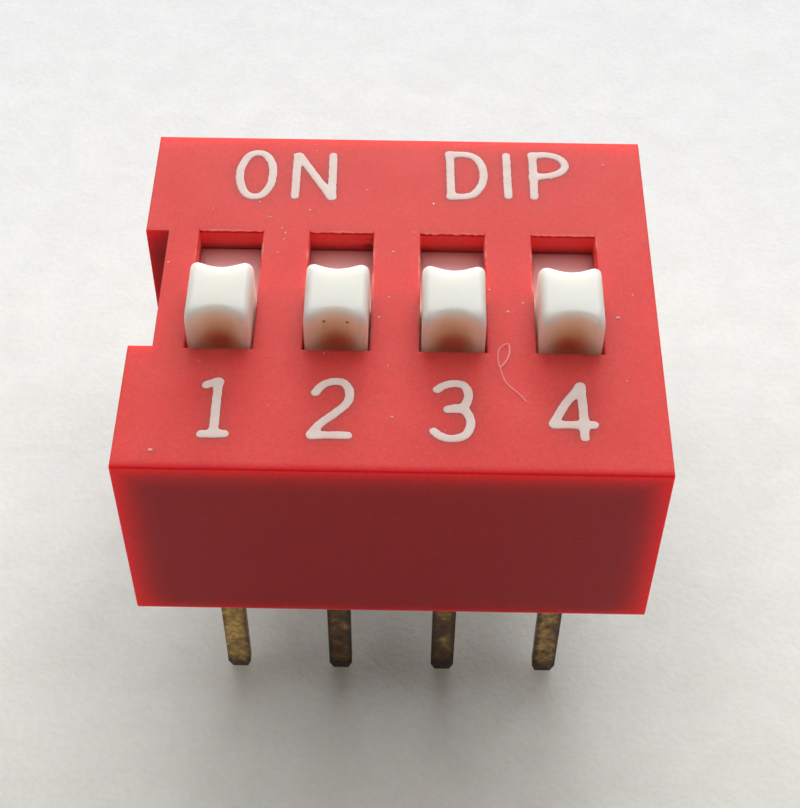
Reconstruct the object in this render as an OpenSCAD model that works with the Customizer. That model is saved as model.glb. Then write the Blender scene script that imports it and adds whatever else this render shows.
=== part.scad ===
// Slide DIP switch with raised actuators, every position resting in OFF.
// Millimetres. The origin lies on the seating plane, under the middle of the pin pattern.
// +X runs along the positions from the first to the last, +Y points to the ON side, +Z is up.

/* [Pin grid] */
// Number of switch positions
positions = 4; // [2:1:10]
// Distance from one position to the next
pitch = 2.54; // [2.4:0.01:2.8]
// Distance from the cover's side to the middle of the row of pins beside it
row_inset = 1.24; // [1.1:0.01:1.5]
// Height of the cover's lower edge above the seating plane
standoff = 0.6; // [0.3:0.05:1.0]

/* [Cover] */
// Cover length beyond the outer positions' own pitch, at each end
end_margin = 0.7; // [0.6:0.01:1.5]
// Cover width, across the rows of pins
cover_w = 10.1; // [9:0.1:12]
// Cover height
cover_h = 5.2; // [4.5:0.1:7]
// Thickness of the long side walls
side_wall = 0.65; // [0.5:0.05:0.7]
// Thickness of the end walls around the base
end_wall = 0.6; // [0.4:0.05:0.8]
// Thickness of the top plate
top_t = 0.6; // [0.4:0.05:0.8]
// Radius on the cover's outer edges
edge_r = 0.04; // [0.02:0.01:0.2]
// Height of the space under the top plate, in which the sliders run
bay_h = 1.7; // [1.5:0.05:1.9]

/* [Index notch] */
// Depth of the notch in the first position's end
notch_depth = 0.54; // [0.3:0.01:0.6]
// Length of the notch
notch_l = 3.55; // [2:0.05:5]
// Wall left between the notch and the base
notch_wall = 0.42; // [0.3:0.01:0.45]

/* [Windows] */
// Length of a window
window_l = 3.6; // [3.2:0.05:3.65]
// Distance from the cover's middle to the windows' middle, towards ON
window_shift = 0.05; // [-0.1:0.01:0.1]
// Sliding clearance at each side of an actuator
side_clear = 0.04; // [0.02:0.01:0.1]
// Clearance left at each end of the travel
end_clear = 0.05; // [0.02:0.01:0.1]
// Radius on a window's upper edges
mouth_r = 0.05; // [0.02:0.01:0.08]

/* [Slider] */
// Width of an actuator
knob_w = 1.38; // [1.1:0.01:1.5]
// Length of an actuator along its travel
knob_l = 1.7; // [1.4:0.05:2]
// Height of an actuator above the cover
knob_rise = 1; // [0.5:0.05:1.5]
// Radius of the horns beside the finger hollows
horn_r = 0.15; // [0.1:0.01:0.25]
// Depth of the finger hollows, front and back
hollow_depth = 0.26; // [0.1:0.01:0.3]
// Radius on the actuator's top edges along its sides
knob_side_r = 0.1; // [0.05:0.01:0.18]
// Radius on the actuator's top edges in front and behind, where the finger pushes
knob_brow_r = 0.3; // [0.1:0.01:0.4]
// How far the slider's plate reaches past the window at each side
plate_lip = 0.225; // [0.15:0.005:0.25]
// How far the slider's plate still laps the window's end at full travel
plate_lap = 0.175; // [0.1:0.005:0.18]
// Thickness of the slider's plate
plate_t = 0.7; // [0.5:0.05:0.8]
// Thickness of the skirt around the slider's underside
skirt_t = 0.3; // [0.2:0.01:0.35]

/* [Contacts] */
// Thickness of a contact's spring strip
strip_t = 0.1; // [0.08:0.01:0.14]
// Width of a contact's spring strip
strip_w = 1; // [0.8:0.05:1.1]
// Distance from a contact's middle to each foot
foot_reach = 1.6; // [1.4:0.05:1.8]
// Radius of the feet, on the strip's centreline
foot_r = 0.25; // [0.15:0.01:0.3]
// Distance from a contact's middle to the ends of its flat web
web_reach = 0.52; // [0.4:0.01:0.65]
// Length of a foot's upturned end
tail_l = 0.45; // [0.3:0.01:0.55]
// Gap drawn between a foot and the pads under it
foot_gap = 0.02; // [0.01:0.005:0.04]
// Radius of the peg that carries a contact
peg_r = 0.2; // [0.15:0.01:0.24]
// Clearance between the peg and the contact's hole
peg_clear = 0.02; // [0.01:0.005:0.03]
// Radius of the peg's staked head
head_r = 0.36; // [0.3:0.01:0.4]
// Thickness of the peg's staked head
head_t = 0.12; // [0.08:0.01:0.16]

/* [Terminals] */
// Thickness of the terminals' sheet
terminal_t = 0.25; // [0.2:0.01:0.3]
// Width of a terminal inside the base
terminal_w = 1.1; // [0.8:0.05:1.2]
// Bend radius of a terminal, on the sheet's centreline
bend_r = 0.25; // [0.2:0.01:0.35]
// Width of a pin
pin_w = 0.56; // [0.4:0.01:0.65]
// Length of a pin below the seating plane
pin_l = 3.9; // [3:0.05:4.5]
// Height of the taper at a pin's tip
tip_h = 0.3; // [0.1:0.01:0.5]
// Width that the taper takes from each edge of a pin
tip_inset = 0.09; // [0.02:0.01:0.12]

// How far a pad reaches past the foot that rests on it
pad_lap = 0.25; // [0.15:0.01:0.35]
// Plastic between a resting foot and the pad it leaves open
off_gap = 0.7; // [0.6:0.05:0.9]

/* [Base] */
// Gap between the base and the cover
base_gap = 0.05; // [0.02:0.01:0.08]
// How far the sealed channels reach inwards from the rows of pins
channel_reach = 0.51; // [0.4:0.01:0.7]
// Height of the sealed channels' roof above the seating plane
channel_top = 1.3; // [1:0.05:1.5]
// How far the sealing compound stays inside the cover's lower edge
seal_recess = 0.08; // [0.04:0.01:0.2]
// Width of the standoff rails
rail_w = 0.9; // [0.6:0.05:1]
// Distance from the sealed channels to the ends of the rails
rail_inset = 0.5; // [0.2:0.05:1]
// Width of the hollows moulded into the underside
core_w = 1.3; // [0.8:0.05:1.5]
// Depth of the hollows moulded into the underside
core_depth = 1.4; // [0.5:0.1:1.8]
// Distance from the sealed channels to the ends of the hollows
core_inset = 1; // [0.7:0.05:1.5]
// How far a snap barb stands out of the base
barb_out = 0.14; // [0.08:0.01:0.16]
// Height of a snap barb
barb_h = 0.5; // [0.3:0.05:0.6]
// Height of a snap barb's lower edge above the sealed channels' roof
barb_rise = 0.6; // [0.4:0.05:0.8]
// Width of a snap barb
barb_w = 1; // [0.6:0.05:1.1]

/* [Hidden] */
$fn = 48;
cut = 0.1;                       // how far a cutting shape runs past the face it opens
bend_steps = 8;                  // flats that a bend in sheet is drawn with
bite = 0.0005;                   // how far a finger hollow's arc crosses the horns' arcs, which it would only graze
last = positions - 1;

cover_l = positions * pitch + 2 * end_margin;
cover_top = standoff + cover_h;
ceiling = cover_top - top_t;
base_top = ceiling - bay_h;
bay_l = cover_l - 2 * end_wall;
bay_w = cover_w - 2 * side_wall;
row_y = cover_w / 2 - row_inset;

window_w = knob_w + 2 * side_clear;
travel = window_l - knob_l - 2 * end_clear;
rest_y = window_shift - travel / 2;
plate_w = window_w + 2 * plate_lip;
plate_l = window_l + travel + 2 * plate_lap;
slot_w = plate_w + 2 * side_clear;
slot_l = plate_l + travel + 2 * end_clear;
plate_top = ceiling - side_clear;
plate_under = plate_top - plate_t;
skirt_foot = base_top + side_clear;

base_l = bay_l - 2 * base_gap;
base_w = bay_w - 2 * base_gap;
channel_y = row_y - channel_reach;
rail_l = 2 * (channel_y - rail_inset);
core_l = 2 * (channel_y - core_inset);
barb_z = channel_top + barb_rise;

// An arm runs from the end of the web, tangent to the foot's arc
web_z = plate_under - strip_t / 2;
foot_axis_z = base_top + foot_gap + strip_t / 2 + foot_r;
arm = [foot_reach - web_reach, web_z - foot_axis_z];
arm_slope = atan2(arm.y, arm.x) + asin(foot_r / norm(arm));
foot_bend_z = foot_axis_z - foot_r / cos(arm_slope);

red = "#d63a33";
white = "#eceade";
black = "#232323";
gold = "#c9a24a";
tarnish = "#8a7338";
compound = "#3a3530";

function position_x(i) = (i - last / 2) * pitch;
function web_x(i) = position_x(i) + pitch / 2;    // middle of the web between two positions

// Inner end of a pad: the front pad is met in ON only, the rear one in both positions
function pad_end(side) = side < 0
    ? rest_y + travel - foot_reach + pad_lap
    : rest_y + foot_reach + off_gap;

// ---- profiles ------------------------------------------------------------

// Rectangle centred on the origin, with round corners
module round_rect(l, w, r) {
    square([l - 2 * r, w], center = true);
    square([l, w - 2 * r], center = true);
    for (x = [-1, 1], y = [-1, 1])
        translate([x * (l / 2 - r), y * (w / 2 - r)]) circle(r);
}

// Rectangle standing on the X axis from z0 to z1, with round top corners
module round_top(w, z0, z1, r) {
    translate([-w / 2, z0]) square([w, z1 - z0 - r]);
    translate([-w / 2 + r, z0]) square([w - 2 * r, z1 - z0]);
    for (x = [-1, 1])
        translate([x * (w / 2 - r), z1 - r]) circle(r);
}

// Puts a profile drawn in (y, z) across the part, w wide and centred on X = 0
module across_x(w) {
    rotate([90, 0, 90]) linear_extrude(w, center = true) children();
}

// Puts a profile drawn in (x, z) across the part, w wide and centred on Y = 0
module across_y(w) {
    rotate([90, 0, 0]) linear_extrude(w, center = true) children();
}

// A block whose plan is the children's, from z0 to z1, with its top edges rounded off:
// those along its sides by side_r, those at its front and back by end_r
module round_block(l, w, z0, z1, side_r, end_r) {
    intersection() {
        translate([0, 0, z0]) linear_extrude(z1 - z0) children();
        across_y(w + cut) round_top(l, z0, z1, side_r);
        across_x(l + cut) round_top(w, z0, z1, end_r);
    }
}

// Section of an opening w wide that runs up from z0 and rounds outwards at its mouth, z1
module round_mouth(w, z0, z1, r) {
    translate([-w / 2, z0]) square([w, z1 - z0 + cut]);
    difference() {
        translate([-w / 2 - r, z1 - r]) square([w + 2 * r, r + cut]);
        for (x = [-1, 1])
            translate([x * (w / 2 + r), z1 - r]) circle(r);
    }
}

function unit(v) = v / norm(v);
function turned(v) = [-v.y, v.x];
function reversed(list) = [for (i = [len(list) - 1 : -1 : 0]) list[i]];
function run_at(p, i) = unit(p[i + 1] - p[i]);
function turn_at(p, i) = acos(run_at(p, i - 1) * run_at(p, i));
function side_at(p, i) = sign(turned(run_at(p, i - 1)) * run_at(p, i));

// Points around bend i of the path p, h to the left of a centreline of radius r
function bend(p, i, r, h) =
    let (
        side = side_at(p, i),
        start = p[i] - run_at(p, i - 1) * r * tan(turn_at(p, i) / 2),
        spoke = -side * turned(run_at(p, i - 1)),
        centre = start - spoke * r,
        angle = atan2(spoke.y, spoke.x)
    )
    [for (k = [0 : bend_steps])
        let (a = angle + side * turn_at(p, i) * k / bend_steps)
        centre + (r - side * h) * [cos(a), sin(a)]];

// One edge of a strip that follows the path p, h to its left
function strip_edge(p, r, h) = concat(
    [p[0] + turned(run_at(p, 0)) * h],
    [for (i = [1 : len(p) - 2]) each bend(p, i, r, h)],
    [p[len(p) - 1] + turned(run_at(p, len(p) - 2)) * h]
);

// A sheet strip of thickness t bent along the points p, with centreline radius r
module bent_strip(p, t, r) {
    polygon(concat(strip_edge(p, r, t / 2), reversed(strip_edge(p, r, -t / 2))));
}

// ---- housing -------------------------------------------------------------

module cover_outside() {
    round_block(cover_l, cover_w, standoff, cover_top, edge_r, edge_r)
        round_rect(cover_l, cover_w, edge_r);
}

// The bay that takes the base, less the wall that backs the notch
module base_bay() {
    difference() {
        translate([-bay_l / 2, -bay_w / 2, standoff - cut])
            cube([bay_l, bay_w, base_top - standoff + cut]);
        notch_block(notch_wall, standoff - 2 * cut, base_top + cut);
    }
}

// The notch, grown by a margin on its inner sides
module notch_block(margin, z0, z1) {
    translate([-cover_l / 2 - cut, window_shift - notch_l / 2 - margin, z0])
        cube([cut + notch_depth + margin, notch_l + 2 * margin, z1 - z0]);
}

// The bay in which one slider runs, under the top plate
module slider_bay() {
    translate([-slot_w / 2, window_shift - slot_l / 2, base_top - cut])
        cube([slot_w, slot_l, ceiling - base_top + cut]);
}

module window() {
    translate([0, window_shift, 0]) intersection() {
        across_y(window_l + 2 * mouth_r) round_mouth(window_w, ceiling - cut, cover_top, mouth_r);
        across_x(window_w + 2 * mouth_r) round_mouth(window_l, ceiling - cut, cover_top, mouth_r);
    }
}

// Snap barbs on both flanks, between the positions, or the pockets that take them
module barbs(gap) {
    for (side = [-1, 1], i = [0 : last - 1])
        translate([web_x(i), 0, 0]) across_x(barb_w + 2 * gap) polygon([
            [side * (base_w / 2 - cut), barb_z - gap],
            [side * (base_w / 2 + barb_out + gap), barb_z - gap],
            [side * (base_w / 2 + gap), barb_z + barb_h + gap],
            [side * (base_w / 2 - cut), barb_z + barb_h + gap]
        ]);
}

module cover() {
    color(red) difference() {
        cover_outside();
        base_bay();
        notch_block(0, standoff - cut, cover_top + cut);
        barbs(base_gap);
        for (i = [0 : last]) translate([position_x(i), 0, 0]) {
            slider_bay();
            window();
        }
    }
}

// The channel along one row of pins that the sealing compound fills
module channel(side, width, z0, z1) {
    y = side > 0 ? channel_y : -channel_y - width;
    translate([-bay_l / 2, y, z0]) cube([bay_l, width, z1 - z0]);
}

module base() {
    color(black) difference() {
        union() {
            translate([-base_l / 2, -base_w / 2, standoff]) cube([base_l, base_w, base_top - standoff]);
            for (i = [0 : last - 1]) translate([web_x(i) - rail_w / 2, -rail_l / 2, 0])
                cube([rail_w, rail_l, standoff + cut]);
            barbs(0);
        }
        notch_block(notch_wall + base_gap, standoff - cut, base_top + cut);
        for (side = [-1, 1]) channel(side, base_w, standoff - cut, channel_top);
        for (i = [0 : last]) translate([position_x(i), 0, 0]) {
            translate([-core_w / 2, -core_l / 2, standoff - cut]) cube([core_w, core_l, core_depth + cut]);
            for (side = [-1, 1]) terminal_slot(side);
        }
    }
}

module seal(side) {
    color(compound) difference() {
        channel(side, bay_w / 2 - channel_y, standoff + seal_recess, channel_top);
        for (i = [0 : last]) translate([position_x(i), 0, 0]) terminal_shape(side);
    }
}

// ---- terminals -----------------------------------------------------------

// Outline of a pin seen flat on: straight, with a tapered tip
module pin_outline(w, inset) {
    polygon([
        [-w / 2, channel_top + cut],
        [-w / 2, tip_h - pin_l],
        [inset - w / 2, -pin_l],
        [w / 2 - inset, -pin_l],
        [w / 2, tip_h - pin_l],
        [w / 2, channel_top + cut]
    ]);
}

// Pad on the base's top, bent down through the base, and narrowed to a pin below it
module terminal_shape(side) {
    leg_y = side * row_y;
    pad_z = base_top - terminal_t / 2;
    across_x(terminal_w)
        bent_strip([[pad_end(side), pad_z], [leg_y, pad_z], [leg_y, channel_top]], terminal_t, bend_r);
    translate([0, leg_y, 0]) intersection() {
        across_y(terminal_t + cut) pin_outline(pin_w, tip_inset);
        across_x(pin_w + cut) pin_outline(terminal_t, tip_inset / 2);
    }
}

// The slot that a terminal lies in, open above its pad
module terminal_slot(side) {
    flat = [pad_end(side), side * (row_y - bend_r)];
    terminal_shape(side);
    translate([-terminal_w / 2, min(flat), base_top - terminal_t / 2])
        cube([terminal_w, abs(flat[1] - flat[0]), terminal_t / 2 + cut]);
}

module terminal(side, i) {
    color(tarnish) translate([position_x(i), 0, 0]) terminal_shape(side);
}

// ---- sliders and their contacts ------------------------------------------

// Plan of an actuator: two finger hollows between four horns, the arcs running smoothly into each other
module knob_plan() {
    horn = [knob_w / 2 - horn_r, knob_l / 2 - horn_r];
    hollow_r = (horn.x * horn.x + hollow_depth * hollow_depth) / (2 * hollow_depth) - horn_r + bite;
    hollow_y = knob_l / 2 - hollow_depth + hollow_r;
    square([knob_w, 2 * horn.y], center = true);
    for (end = [-1, 1]) {
        for (x = [-1, 1]) translate([x * horn.x, end * horn.y]) circle(horn_r);
        difference() {
            polygon([[-horn.x, 0], [horn.x, 0], [horn.x, end * horn.y], [0, end * hollow_y], [-horn.x, end * horn.y]]);
            translate([0, end * hollow_y]) circle(hollow_r);
        }
    }
}

module slider_plate() {
    translate([0, 0, skirt_foot]) linear_extrude(plate_top - skirt_foot)
        round_rect(plate_w, plate_l, horn_r);
}

// The hollow inside the skirt, which takes the contact
module skirt_bay() {
    translate([-plate_w / 2 + skirt_t, -plate_l / 2 + skirt_t, skirt_foot - cut])
        cube([plate_w - 2 * skirt_t, plate_l - 2 * skirt_t, plate_under - skirt_foot + cut]);
}

module slider(i) {
    color(white) translate([position_x(i), rest_y, 0]) {
        difference() {
            slider_plate();
            skirt_bay();
        }
        round_block(knob_w, knob_l, plate_top - cut, cover_top + knob_rise, knob_side_r, knob_brow_r)
            knob_plan();
        translate([0, 0, plate_under - strip_t - cut]) cylinder(r = peg_r, h = strip_t + 2 * cut);
        translate([0, 0, plate_under - strip_t - head_t]) cylinder(r = head_r, h = head_t);
    }
}

module contact(i) {
    arm_end = [foot_reach, foot_bend_z] + tail_l * [cos(arm_slope), sin(arm_slope)];
    color(gold) translate([position_x(i), rest_y, 0]) difference() {
        across_x(strip_w) bent_strip([
            [-arm_end.x, arm_end.y],
            [-foot_reach, foot_bend_z],
            [-web_reach, web_z],
            [web_reach, web_z],
            [foot_reach, foot_bend_z],
            arm_end
        ], strip_t, foot_r);
        translate([0, 0, plate_under - 2 * strip_t]) cylinder(r = peg_r + peg_clear, h = 3 * strip_t);
    }
}

// ---- drawing -------------------------------------------------------------

cover();
base();
seal(-1);  // seal_front
seal(1);  // seal_rear
for (i = [0 : last]) {
    slider(i);
    contact(i);
    terminal(-1, i);
    terminal(1, i);
}
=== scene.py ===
"""Slide DIP switch with four raised actuators: its finishes, legend, wear, studio and camera.

Everything is in metres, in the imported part's own frame: +X runs from position 1 to position 4,
+Y points to the ON side, +Z is up, and z = 0 is the seating plane.
"""
import logging
import math
from dataclasses import dataclass
from enum import Enum
from typing import Any, Callable, Iterable

import bmesh
import bpy
import numpy as np
from mathutils import Matrix, Vector


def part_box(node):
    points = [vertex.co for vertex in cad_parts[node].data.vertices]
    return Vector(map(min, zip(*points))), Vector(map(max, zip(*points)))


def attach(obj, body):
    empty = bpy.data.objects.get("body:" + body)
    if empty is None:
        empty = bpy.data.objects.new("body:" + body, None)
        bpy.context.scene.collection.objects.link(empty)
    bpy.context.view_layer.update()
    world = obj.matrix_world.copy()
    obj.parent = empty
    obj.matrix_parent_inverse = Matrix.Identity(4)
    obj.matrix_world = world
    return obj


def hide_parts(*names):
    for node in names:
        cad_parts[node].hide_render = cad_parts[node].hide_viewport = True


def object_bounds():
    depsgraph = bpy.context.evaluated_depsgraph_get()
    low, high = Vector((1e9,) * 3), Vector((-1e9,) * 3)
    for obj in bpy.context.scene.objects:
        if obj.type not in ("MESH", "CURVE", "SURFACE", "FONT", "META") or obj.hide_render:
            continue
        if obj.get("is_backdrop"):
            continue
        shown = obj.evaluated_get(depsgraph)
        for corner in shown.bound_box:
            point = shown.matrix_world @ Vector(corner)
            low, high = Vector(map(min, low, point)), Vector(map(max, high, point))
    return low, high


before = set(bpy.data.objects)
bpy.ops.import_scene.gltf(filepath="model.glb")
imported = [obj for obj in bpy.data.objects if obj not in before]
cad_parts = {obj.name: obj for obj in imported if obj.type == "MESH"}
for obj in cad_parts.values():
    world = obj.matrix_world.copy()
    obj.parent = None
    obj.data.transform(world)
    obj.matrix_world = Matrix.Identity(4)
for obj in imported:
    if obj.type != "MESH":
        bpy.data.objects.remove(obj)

LOG = logging.getLogger("dip_switch")
MM = 0.001
POSITIONS = 4
PITCH_MM = 2.54
TOP_MM = 5.8
NOISE_SPAN = (0.3, 0.7)
Pair = tuple[float, float]
Triple = tuple[float, float, float]
Spots = tuple[tuple[Triple, float], ...]
MATH, VECTOR, AXES = "ShaderNodeMath", "ShaderNodeVectorMath", "ShaderNodeSeparateXYZ"
RAMP, MIX, NOISE, BUMP = "ShaderNodeMapRange", "ShaderNodeMix", "ShaderNodeTexNoise", "ShaderNodeBump"


class Tarnish(Enum):
    """How far a terminal's brass has turned, as the share of its face that is brown."""

    LIGHT = 0.30
    HALF = 0.62
    HEAVY = 0.80


# ---- helpers -------------------------------------------------------------


def metres(lengths_mm: Iterable[float]) -> tuple[float, ...]:
    """Turns lengths in millimetres into metres."""
    return tuple(length * MM for length in lengths_mm)


def linear(code: str) -> tuple[float, float, float, float]:
    """Turns an sRGB hex colour into the linear colour that a shader takes.

    Args:
        code: The colour as "#rrggbb".

    Returns:
        Red, green, blue and an alpha of 1.
    """
    parts = [int(code[i:i + 2], 16) / 255 for i in (1, 3, 5)]
    red, green, blue = (c / 12.92 if c <= 0.04045 else ((c + 0.055) / 1.055) ** 2.4 for c in parts)
    return red, green, blue, 1.0


def feed(tree: bpy.types.NodeTree, node: bpy.types.Node, feeds: dict[Any, Any] | tuple) -> None:
    """Feeds a node's inputs.

    Args:
        tree: The tree that the node is in.
        node: The node.
        feeds: What its first inputs take, in order, or a dict with the name or index of each. A hex code gives its
            colour, a node or a socket is linked, and anything else is set. A node stands for its first output that
            is in use.
    """
    for key, value in feeds.items() if isinstance(feeds, dict) else enumerate(feeds):
        if isinstance(value, bpy.types.Node):
            value = next(output for output in value.outputs if output.enabled)
        if isinstance(value, bpy.types.NodeSocket):
            tree.links.new(value, node.inputs[key])
        else:
            node.inputs[key].default_value = linear(value) if isinstance(value, str) else value


def put(tree: bpy.types.NodeTree, kind: str, feeds: dict[Any, Any] | tuple = (), **settings: Any) -> bpy.types.Node:
    """Adds a node with its settings, and feeds its inputs.

    Args:
        tree: The shader or geometry tree.
        kind: The node's type name.
        feeds: What its inputs take, as feed() reads it.
        settings: The node's own properties.

    Returns:
        The new node.
    """
    made = tree.nodes.new(kind)
    for name, value in settings.items():
        setattr(made, name, value)
    feed(tree, made, feeds)
    return made


def linked(name: str, data: Any) -> bpy.types.Object:
    """Makes an object and links it to the scene.

    Args:
        name: The object's name.
        data: Its mesh, curve, lamp or camera.

    Returns:
        The new object, at the origin.
    """
    made = bpy.data.objects.new(name, data)
    bpy.context.scene.collection.objects.link(made)
    return made


def drawn(name: str, points: Any, faces: Any) -> bpy.types.Mesh:
    """Draws a mesh.

    Args:
        name: The mesh's name.
        points: Its vertices, in metres.
        faces: Its faces, as lists of vertex numbers.

    Returns:
        The new mesh.
    """
    mesh = bpy.data.meshes.new(name)
    mesh.from_pydata([tuple(p) for p in points], [], [tuple(f) for f in faces])
    mesh.update()
    return mesh


def kept(build: bmesh.types.BMesh) -> bpy.types.Mesh:
    """Writes a build to a new mesh, and frees it.

    Args:
        build: What has been built.

    Returns:
        The new mesh.
    """
    mesh = bpy.data.meshes.new("build")
    build.to_mesh(mesh)
    build.free()
    return mesh


def carried(name: str, mesh: bpy.types.Mesh, finish: bpy.types.Material, body: str) -> bpy.types.Object:
    """Makes a piece with one finish, that rides on a body.

    Args:
        name: The piece's name.
        mesh: Its mesh, in metres.
        finish: Its material.
        body: The body that carries it.

    Returns:
        The new object, at the origin.
    """
    mesh.name = name
    mesh.materials.clear()
    mesh.materials.append(finish)
    piece = linked(name, mesh)
    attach(piece, body)
    LOG.info("%s: %d faces, %s", name, len(mesh.polygons), finish.name)
    return piece


def grown(
    name: str, host: bpy.types.Object, tree: bpy.types.NodeTree, sizes: dict[str, Any], finish: bpy.types.Material
) -> bpy.types.Object:
    """Runs a geometry tree on a host and keeps the result as a plain mesh piece on the housing.

    Args:
        name: The piece's name.
        host: The object that the tree grows from; it is removed afterwards.
        tree: The tree, ending in Realize Instances and Set Material.
        sizes: A value for each named input.
        finish: The material that the tree sets.

    Returns:
        The new object, with no modifier left on it.
    """
    modifier = host.modifiers.new(name, "NODES")
    modifier.node_group = tree
    values = {**sizes, "Finish": finish}
    for item in tree.interface.items_tree:
        if item.in_out == "INPUT" and item.name in values:
            modifier[item.identifier] = values[item.name]
    mesh = bpy.data.meshes.new_from_object(host.evaluated_get(bpy.context.evaluated_depsgraph_get()))
    bpy.data.objects.remove(host)
    return carried(name, mesh, finish, "housing")


def geometry_tree(name: str, sizes: dict[str, str]) -> tuple[bpy.types.NodeTree, Any, Callable[[Any], None]]:
    """Starts a geometry tree with named inputs and a finish.

    Args:
        name: The tree's name.
        sizes: The socket type of each named input, without its first word, NodeSocket.

    Returns:
        The tree, its inputs by name, and a function that ends the tree with the geometry it is given.
    """
    tree = bpy.data.node_groups.new(name, "GeometryNodeTree")
    for size, kind in {"Geometry": "Geometry", **sizes, "Finish": "Material"}.items():
        tree.interface.new_socket(size, in_out="INPUT", socket_type="NodeSocket" + kind)
    tree.interface.new_socket("Geometry", in_out="OUTPUT", socket_type="NodeSocketGeometry")
    given = put(tree, "NodeGroupInput").outputs

    def end(shape: Any) -> None:
        """Realizes the shape, sets its finish and links it to the output.

        Args:
            shape: The node that gives the shape.
        """
        real = put(tree, "GeometryNodeRealizeInstances", {"Geometry": shape})
        done = put(tree, "GeometryNodeSetMaterial", {"Geometry": real, "Material": given["Finish"]})
        put(tree, "NodeGroupOutput", {"Geometry": done})

    return tree, given, end


# ---- finishes ------------------------------------------------------------


def off_position(tree: bpy.types.NodeTree, x: bpy.types.NodeSocket) -> bpy.types.Node:
    """Tells how far X is from the middle of the nearest position.

    Args:
        tree: The material's tree.
        x: The X of the Object coordinates.

    Returns:
        A node that gives the distance, in pitches.
    """
    turn = put(tree, MATH, (x, 1 / (PITCH_MM * MM)), operation="MULTIPLY")
    turn = put(tree, MATH, (turn,), operation="FRACT")
    turn = put(tree, MATH, (turn, 0.5), operation="SUBTRACT")
    return put(tree, MATH, (turn,), operation="ABSOLUTE")


def grained(
    tree: bpy.types.NodeTree, grain: bpy.types.Node, rough: Pair, strength: float, depth_mm: float
) -> dict[str, bpy.types.Node]:
    """Lets a grain vary the roughness and raise a fine relief.

    Args:
        tree: The material's tree.
        grain: The noise.
        rough: The roughness where the grain is low, and where it is high.
        strength: How much of the relief shows.
        depth_mm: The relief's depth.

    Returns:
        What the shader's Roughness and Normal take.
    """
    return {
        "Roughness": put(tree, RAMP, (grain, *NOISE_SPAN, *rough)),
        "Normal": put(tree, BUMP, {"Strength": strength, "Distance": depth_mm * MM, "Height": grain}),
    }


@dataclass(frozen=True)
class Finish:
    """What every finish has: a name, and a principled surface on Object coordinates."""

    name: str

    def start(self) -> tuple[bpy.types.Material, bpy.types.NodeTree, bpy.types.Node, bpy.types.NodeSocket]:
        """Makes the empty material.

        Returns:
            The material, its tree, its principled shader and the Object coordinates.
        """
        material = bpy.data.materials.new(self.name)
        material.use_nodes = True
        tree = material.node_tree
        tree.nodes.clear()
        shader = put(tree, "ShaderNodeBsdfPrincipled")
        put(tree, "ShaderNodeOutputMaterial", {"Surface": shader})
        place = put(tree, "ShaderNodeTexCoord").outputs["Object"]
        return material, tree, shader, place

    def build(self) -> bpy.types.Material:
        """Makes the material; each finish has its own."""
        raise NotImplementedError


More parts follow.
